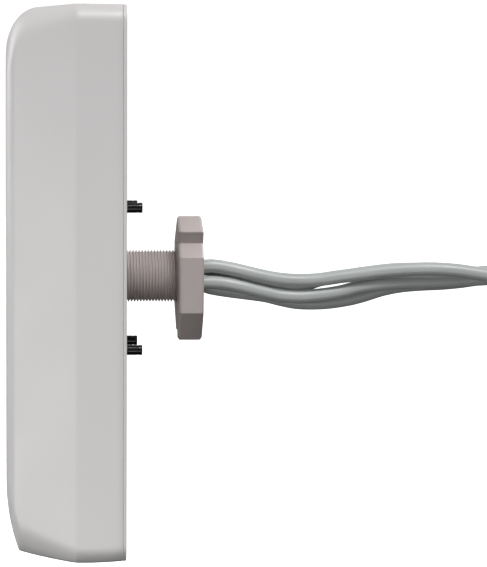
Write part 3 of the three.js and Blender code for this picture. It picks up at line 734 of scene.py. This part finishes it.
def make_nut():
    """The hand nut, with a threaded bore, and the washer in its recess."""
    third = math.radians(120)
    corners = []
    for turn in range(3):
        for across, up in NUT_LOBE:
            radius = math.hypot(across, up)
            angle = math.atan2(up, across) + turn * third
            corners.append((radius * math.cos(angle), radius * math.sin(angle)))

    near, far = NUT_NEAR_X, NUT_FAR_X
    arc_steps, side_steps = 6, 8
    per_corner = arc_steps + 1

    def side(start, end):
        return [start.lerp(end, k / side_steps) for k in range(1, side_steps)]

    def outline_at(inset):
        sharp = inset_corners(corners, inset)
        radius = max(NUT_CORNER_RADIUS - 0.5 * inset, 0.15)
        outline = []
        for i, point in enumerate(rounded_polygon(sharp, radius, arc_steps)):
            corner = i // per_corner
            if corner % len(NUT_LOBE) == NUT_NOTCH:
                point = sharp[corner].lerp(point, 0.3)
            if i % per_corner == 0 and outline:
                outline += side(outline[-1], point)
            outline.append(point)
        return outline + side(outline[-1], outline[0])

    # The outline runs anticlockwise seen with -Y to the right, so across becomes -Y.
    def outer(x, inset):
        return [(x, -point.x, point.y) for point in outline_at(inset)]

    angles = [math.atan2(point.y, point.x) for point in outline_at(0)]

    def bore(x, radius):
        return [(x, -radius * math.cos(angle), radius * math.sin(angle)) for angle in angles]

    def threaded_bore(x):
        ring = []
        for angle in angles:
            wave = thread_wave(x, math.pi - angle, near + 0.9, far - 0.4)
            radius = NUT_BORE - NUT_THREAD_HEIGHT * wave
            ring.append((x, -radius * math.cos(angle), radius * math.sin(angle)))
        return ring

    rings = [outer(near + depth, inset) for depth, inset in NUT_CHAMFER]
    rings += [outer(far - depth, inset) for depth, inset in reversed(NUT_CHAMFER)]
    rings += [bore(far, NUT_BORE + 0.75), bore(far - 0.12, NUT_BORE + 0.6), bore(far - 0.7, NUT_BORE)]
    steps = 48
    rings += [threaded_bore(far - 0.75 + (near - far + 1.7) * k / steps) for k in range(steps + 1)]
    recess, depth = NUT_RECESS
    rings += [bore(near + depth, NUT_BORE), bore(near + depth, recess)]
    rings += [bore(near + 0.15, recess), bore(near, recess + 0.15)]
    nut = mesh_object("clamp_nut_visual", *loft(rings, looped=True), 28)
    dress(nut, "nut", "stem_plastic", "clamp_nut")

    near, far = WASHER_NEAR_X, WASHER_FAR_X
    profile = [
        (near, NUT_BORE + 0.15), (near, WASHER_RADIUS - 0.2), (near + 0.06, WASHER_RADIUS - 0.06),
        (near + 0.2, WASHER_RADIUS), (far - 0.2, WASHER_RADIUS), (far - 0.06, WASHER_RADIUS - 0.06),
        (far, WASHER_RADIUS - 0.2), (far, NUT_BORE + 0.15),
        (far - 0.15, NUT_BORE), (near + 0.15, NUT_BORE),
    ]
    washer = turned("nut_washer_visual", profile, 96, 50, looped=True)
    dress(washer, "washer", "stem_plastic", "nut_washer")


def make_studs():
    """The four studs: a head inside the case, a plain shank, a groove and a chamfered tip."""
    head, tip = STUD_HEAD_X, STUD_TIP_X
    profile = [
        (head, 0.4), (head, 3.0), (head + 0.2, 3.2), (head + 1.2, 3.2), (head + 1.4, 3.0),
        (head + 1.4, STUD_RADIUS), (4.8, STUD_RADIUS), (4.86, 1.74), (4.9, 1.66), (5.08, 1.66),
        (5.12, 1.74), (5.18, STUD_RADIUS), (tip - 0.22, STUD_RADIUS), (tip - 0.1, 1.75),
        (tip - 0.02, 1.62), (tip, 1.5),
    ]
    for i, (y, z) in enumerate(quadrants(STUD_OFFSET, STUD_OFFSET)):
        stud = moved(turned(f"rear_stud_{i + 1}_visual", profile, 48), y, z)
        dress(stud, "antenna", "black_oxide", f"rear_stud_{i + 1}")


def make_grommet():
    """The rubber grommet in the stem's mouth, with a hole for each cable."""
    near, far = GROMMET_NEAR_X, GROMMET_FAR_X
    radius = GROMMET_RADIUS
    profile = [(near, radius - 0.4), (near + 0.4, radius), (far - 0.35, radius), (far - 0.1, radius - 0.1),
               (far, radius - 0.35)]
    grommet = turned("cable_grommet_visual", profile, 96, 40)
    along, mouth = CABLE_HOLE
    for route in CABLE_ROUTES:
        hole = turned("hole", [(near - 1, along), (far - 0.25, along), (far + 0.1, mouth)], 48)
        cut(grommet, moved(hole, *route[0][1:]), 40)
    dress(grommet, "antenna", "black_rubber", "cable_grommet")


# ---------------------------------------------------------------------------------------------
# Pigtails
# ---------------------------------------------------------------------------------------------
def smooth_route(points, steps=10):
    """A centripetal Catmull-Rom curve through the points, as in the frame."""
    knots = [Vector(point) for point in points]
    knots = [knots[0] * 2 - knots[1], *knots, knots[-1] * 2 - knots[-2]]
    route = []
    for p0, p1, p2, p3 in zip(knots, knots[1:], knots[2:], knots[3:]):
        d0, d1, d2 = ((b - a).length ** 0.5 for a, b in ((p0, p1), (p1, p2), (p2, p3)))
        m1 = ((p1 - p0) / d0 - (p2 - p0) / (d0 + d1) + (p2 - p1) / d1) * d1
        m2 = ((p2 - p1) / d1 - (p3 - p1) / (d1 + d2) + (p3 - p2) / d2) * d1
        for k in range(steps):
            t = k / steps
            route.append(
                p1 * (2 * t**3 - 3 * t**2 + 1) + m1 * (t**3 - 2 * t**2 + t)
                + p2 * (3 * t**2 - 2 * t**3) + m2 * (t**3 - t**2)
            )
    route.append(knots[-2])
    return route


def cable_curve(name, route):
    """A round cable along a route in millimetres."""
    data = bpy.data.curves.new(name, "CURVE")
    data.dimensions = "3D"
    data.bevel_depth = CABLE_RADIUS * MM
    data.bevel_resolution = 7
    data.use_fill_caps = True
    spline = data.splines.new("POLY")
    spline.points.add(len(route) - 1)
    for point, place in zip(spline.points, route):
        point.co = (*(place * MM), 1)
    spline.use_smooth = True
    cable = bpy.data.objects.new(name, data)
    bpy.context.scene.collection.objects.link(cable)
    return cable


def hung(piece, end):
    """Turns a piece made along the X axis to hang straight down from a cable's end."""
    piece.data.transform(Matrix.Rotation(math.pi / 2, 4, "Y"))
    piece.data.transform(Matrix.Translation(Vector(end) * MM))
    return piece


def make_boot(i, end):
    """The heat-shrink boot over the cable and the plug's ferrule."""
    start, stop = BOOT_START, BOOT_END
    profile = [
        (start, 2.56), (start, 2.85), (start + 0.15, 2.95), (start + 2, 3.0), (start + 3.5, 3.08),
        (start + 5, 3.38), (start + 6.5, 3.5), (start + 12, 3.52), (stop - 3, 3.58), (stop - 0.9, 3.66),
        (stop - 0.15, 3.68), (stop, 3.6), (stop, 2.9), (start + 0.4, 2.56),
    ]
    boot = hung(turned(f"plug_boot_{i}_visual", profile, 48, 50, looped=True), end)
    return dress(boot, "antenna", "boot_tubing", f"plug_boot_{i}")


def make_plug_body(i, end):
    """The plug's body: ferrule, round shoulder, barrel, and the pin in its mouth."""
    start = PLUG_START
    profile = [
        (start, 1.0), (start, 3.1), (start + 0.15, 3.25), (start + 2.9, 3.25), (start + 3.0, 4.9),
        (start + 3.3, 5.3), (start + 7.6, 5.3), (start + 7.9, 5.1), (start + 8, 4.25), (start + 20.8, 4.25),
        (start + 21, 4.1), (start + 21, 3.6), (start + 20.8, 3.5), (start + 12, 3.5), (start + 12, 2.4),
        (start + 12.6, 2.3), (start + 14.5, 2.3), (start + 14.6, 0.62), (start + 18.5, 0.62),
        (start + 19, 0.3),
    ]
    body = hung(turned(f"plug_body_{i}_visual", profile, 48), end)
    return dress(body, "antenna", "nickel_plate", f"plug_body_{i}")


def make_collar(i, end):
    """The coupling collar: a diamond-knurled grip, a groove and a plain skirt with an internal thread."""
    count = 120
    start, stop = COLLAR_START, COLLAR_END

    def knurled(x):
        ring = []
        lean = KNURL_LEAN * (x - start)
        for k in range(count):
            angle = 2 * math.pi * k / count
            first = math.sin(KNURL_TEETH * (angle + lean))
            second = math.sin(KNURL_TEETH * (angle - lean))
            height = (1 - max(abs(first), abs(second)) ** 2) * KNURL_DEPTH
            radius = KNURL_CREST - KNURL_DEPTH + height
            ring.append((x, radius * math.cos(angle), radius * math.sin(angle)))
        return ring

    grip_steps = 18
    rings = [circle(start, 4.8, count), circle(start, 6.5, count), circle(start + 0.1, 6.62, count),
             circle(start + 0.5, 6.98, count)]
    rings += [knurled(start + 0.6 + 7.0 * k / grip_steps) for k in range(grip_steps + 1)]
    rings += [
        circle(start + 7.8, 6.98, count), circle(start + 8.1, 6.66, count), circle(start + 8.3, 6.4, count),
        circle(start + 8.9, 6.4, count), circle(start + 9.1, 6.68, count), circle(stop - 0.35, 6.68, count),
        circle(stop - 0.08, 6.55, count), circle(stop, 6.4, count), circle(stop, 6.0, count),
        circle(stop - 0.3, 5.75, count),
    ]
    turns = 8
    thread_start, thread_end = stop - 0.3, start + 4.2
    for k in range(1, turns * 4):
        x = thread_start - (thread_start - thread_end) * k / (turns * 4)
        rings.append(circle(x, (5.75, 5.62, 5.5, 5.62)[k % 4], count))
    rings += [circle(start + 3.2, 5.75, count), circle(start + 3, 5.6, count)]
    rings.append(circle(start + 3, 4.8, count))
    collar = hung(mesh_object(f"plug_collar_{i}_visual", *loft(rings, looped=True), 34), end)
    return dress(collar, f"collar_{i}", "nickel_plate", f"plug_collar_{i}")


def tie_block(name, sections):
    """A block across the bundle from (y, half width, centre, half height) sections."""
    rings = []
    for y, half_width, centre, half_height in sections:
        rings.append([(TIE_CENTRE_X + a * half_width, y, centre + b * half_height) for a, b in SQUARE])
    return mesh_object(name, *loft(rings))


def make_tie():
    """A cable tie: a thin band round the flat bundle, its ratchet head and the trimmed tail."""
    centre_z = (TIE_LOW.z + (TIE_HIGH.z - 5)) / 2 + 0.25
    inner_width, inner_height = TIE_INNER
    half, band = TIE_BAND
    profile = [(-half, 0.25), (-half + 0.25, 0.0), (half - 0.25, 0.0), (half, 0.25), (half, band - 0.25),
               (half - 0.25, band), (-half + 0.25, band), (-half, band - 0.25)]
    rings = []
    for x, out in profile:
        up = inner_height + out
        ring = panel_ring(TIE_CENTRE_X + x, inner_width + out, -up, up, 2.6 + out, 10)
        rings.append([(px, y, z + centre_z) for px, y, z in ring])
    loop = mesh_object("tie_loop", *loft(rings, looped=True), 40)
    top = centre_z + inner_height + band
    low, high = top - 0.55, TIE_HIGH.z - 0.05
    head = tie_block("tie_head", [
        (y, 2.55 + grow, (low + high) / 2, (high - low) / 2 + grow)
        for y, grow in ((2.1, -0.35), (2.35, 0), (6.65, 0), (6.9, -0.35))
    ])
    tail = tie_block("tie_tail", [
        (y, 1.55, top + lift, 0.42) for y, lift in ((1.0, 0.9), (3.0, 1.25), (6.0, 1.5), (8.6, 1.5))
    ])
    tie = joined("cable_tie_visual", [loop, head, tail])
    return dress(tie, "antenna", "white_nylon", "cable_tie")


def make_pigtails():
    """The four free cables, each with its boot, plug and collar, and the tie that holds them together."""
    tie = make_tie()
    for index, points in enumerate(CABLE_ROUTES):
        i = index + 1
        end = points[-1]
        boot = make_boot(i, end)
        body = make_plug_body(i, end)
        collar = make_collar(i, end)
        lead = cable_curve(f"cable_lead_{i}_visual", smooth_route(points))
        dress(lead, "antenna", "cable_jacket", f"cable_lead_{i}")


def make_inner_coaxes():
    """The held stretch of each pigtail, from its feed pin through the stem and grommet to the mouth."""
    feed = quadrants(*FEED_POINTS)
    for index, points in enumerate(CABLE_ROUTES):
        _, exit_y, exit_z = points[0]
        feed_y, feed_z = feed[index]

        def between(share):
            return exit_y + (feed_y - exit_y) * share, exit_z + (feed_z - exit_z) * share

        route = [
            (28.85, exit_y, exit_z), (21.7, exit_y, exit_z), (10, exit_y, exit_z), (0, exit_y, exit_z),
            (-5, exit_y, exit_z), (-9.5, *between(0.05)), (-13, *between(0.18)), (-15.2, *between(0.38)),
            (-16, *between(0.66)), (-16, *between(1)),
        ]
        coax = cable_curve(f"inner_coax_{index + 1}_visual", smooth_route(route, 6))
        dress(coax, "antenna", "cable_jacket", f"inner_coax_{index + 1}")


# ---------------------------------------------------------------------------------------------
# Camera, light and floor
# ---------------------------------------------------------------------------------------------
def make_camera():
    """Side view from a long lens, a little above the stem and in front of the seating plane."""
    data = bpy.data.cameras.new("camera")
    data.sensor_width = CAMERA_SENSOR
    data.lens = CAMERA_LENS
    camera = bpy.data.objects.new("camera", data)
    turn = Matrix.Rotation(-CAMERA_YAW, 4, "Z") @ Matrix.Rotation(math.pi / 2 + CAMERA_PITCH, 4, "X")
    turn = turn @ Matrix.Rotation(CAMERA_ROLL, 4, "Z")
    camera.matrix_world = Matrix.Translation(CAMERA_PLACE) @ turn
    bpy.context.scene.collection.objects.link(camera)
    bpy.context.scene.camera = camera


def area_light(name, place, target, size, power):
    """A white panel of light, out of the camera's sight."""
    data = bpy.data.lights.new(name, "AREA")
    data.shape = "RECTANGLE"
    data.size, data.size_y = size
    data.energy = power
    light = bpy.data.objects.new(name, data)
    light.location = place
    light.rotation_euler = (Vector(target) - Vector(place)).to_track_quat("-Z", "Y").to_euler()
    light.visible_camera = False
    bpy.context.scene.collection.objects.link(light)


def make_world():
    """A soft dome, brighter overhead than below, behind a white background."""
    world = bpy.data.worlds.new("studio")
    bpy.context.scene.world = world
    world.use_nodes = True
    tree = world.node_tree
    tree.nodes.clear()
    output = tree.nodes.new("ShaderNodeOutputWorld")
    shown = tree.nodes.new("ShaderNodeBackground")
    shown.inputs["Color"].default_value = (1, 1, 1, 1)
    shown.inputs["Strength"].default_value = BACKDROP_STRENGTH
    dome = tree.nodes.new("ShaderNodeBackground")
    dome.inputs["Color"].default_value = (1, 1, 1, 1)
    direction = tree.nodes.new("ShaderNodeSeparateXYZ")
    tree.links.new(tree.nodes.new("ShaderNodeTexCoord").outputs["Generated"], direction.inputs["Vector"])
    strength = tree.nodes.new("ShaderNodeMapRange")
    strength.inputs["From Min"].default_value = -0.7
    strength.inputs["From Max"].default_value = 0.9
    strength.inputs["To Min"].default_value = DOME_STRENGTH[0]
    strength.inputs["To Max"].default_value = DOME_STRENGTH[1]
    tree.links.new(direction.outputs["Z"], strength.inputs["Value"])
    tree.links.new(strength.outputs["Result"], dome.inputs["Strength"])
    seen = tree.nodes.new("ShaderNodeLightPath").outputs["Is Camera Ray"]
    mix = tree.nodes.new("ShaderNodeMixShader")
    tree.links.new(seen, mix.inputs[0])
    tree.links.new(dome.outputs[0], mix.inputs[1])
    tree.links.new(shown.outputs[0], mix.inputs[2])
    tree.links.new(mix.outputs[0], output.inputs["Surface"])


def make_stage():
    """The floor below the lowest plug, the dome and the lights."""
    floor_z = cad_low.z - FLOOR_DROP
    mesh = bpy.data.meshes.new("floor")
    corners = [(-FLOOR_REACH, -FLOOR_REACH, floor_z), (FLOOR_REACH, -FLOOR_REACH, floor_z),
               (FLOOR_REACH, FLOOR_REACH, floor_z), (-FLOOR_REACH, FLOOR_REACH, floor_z)]
    mesh.from_pydata(corners, [], [(0, 1, 2, 3)])
    floor = bpy.data.objects.new("floor", mesh)
    floor.data.materials.append(pale_floor())
    floor.visible_diffuse = False
    floor.visible_glossy = False
    bpy.context.scene.collection.objects.link(floor)
    make_world()
    for light in LIGHTS:
        area_light(*light)


def finish_frame_nodes():
    """Materials for the frame's own nodes that stay: the pieces closed inside the case."""
    slots = {entry["node"]: entry["material_slot"] for entry in frame["record"]["subparts"]}
    for name, node in frame["nodes"].items():
        node.data.materials.clear()
        node.data.materials.append(LOOKS[slots[name]])


bpy.context.scene.view_settings.view_transform = "Standard"
make_camera()
finish_frame_nodes()
make_pigtails()
make_inner_coaxes()
make_radome()
make_back_plate()
make_stem()
make_nut()
make_studs()
make_grommet()
make_stage()
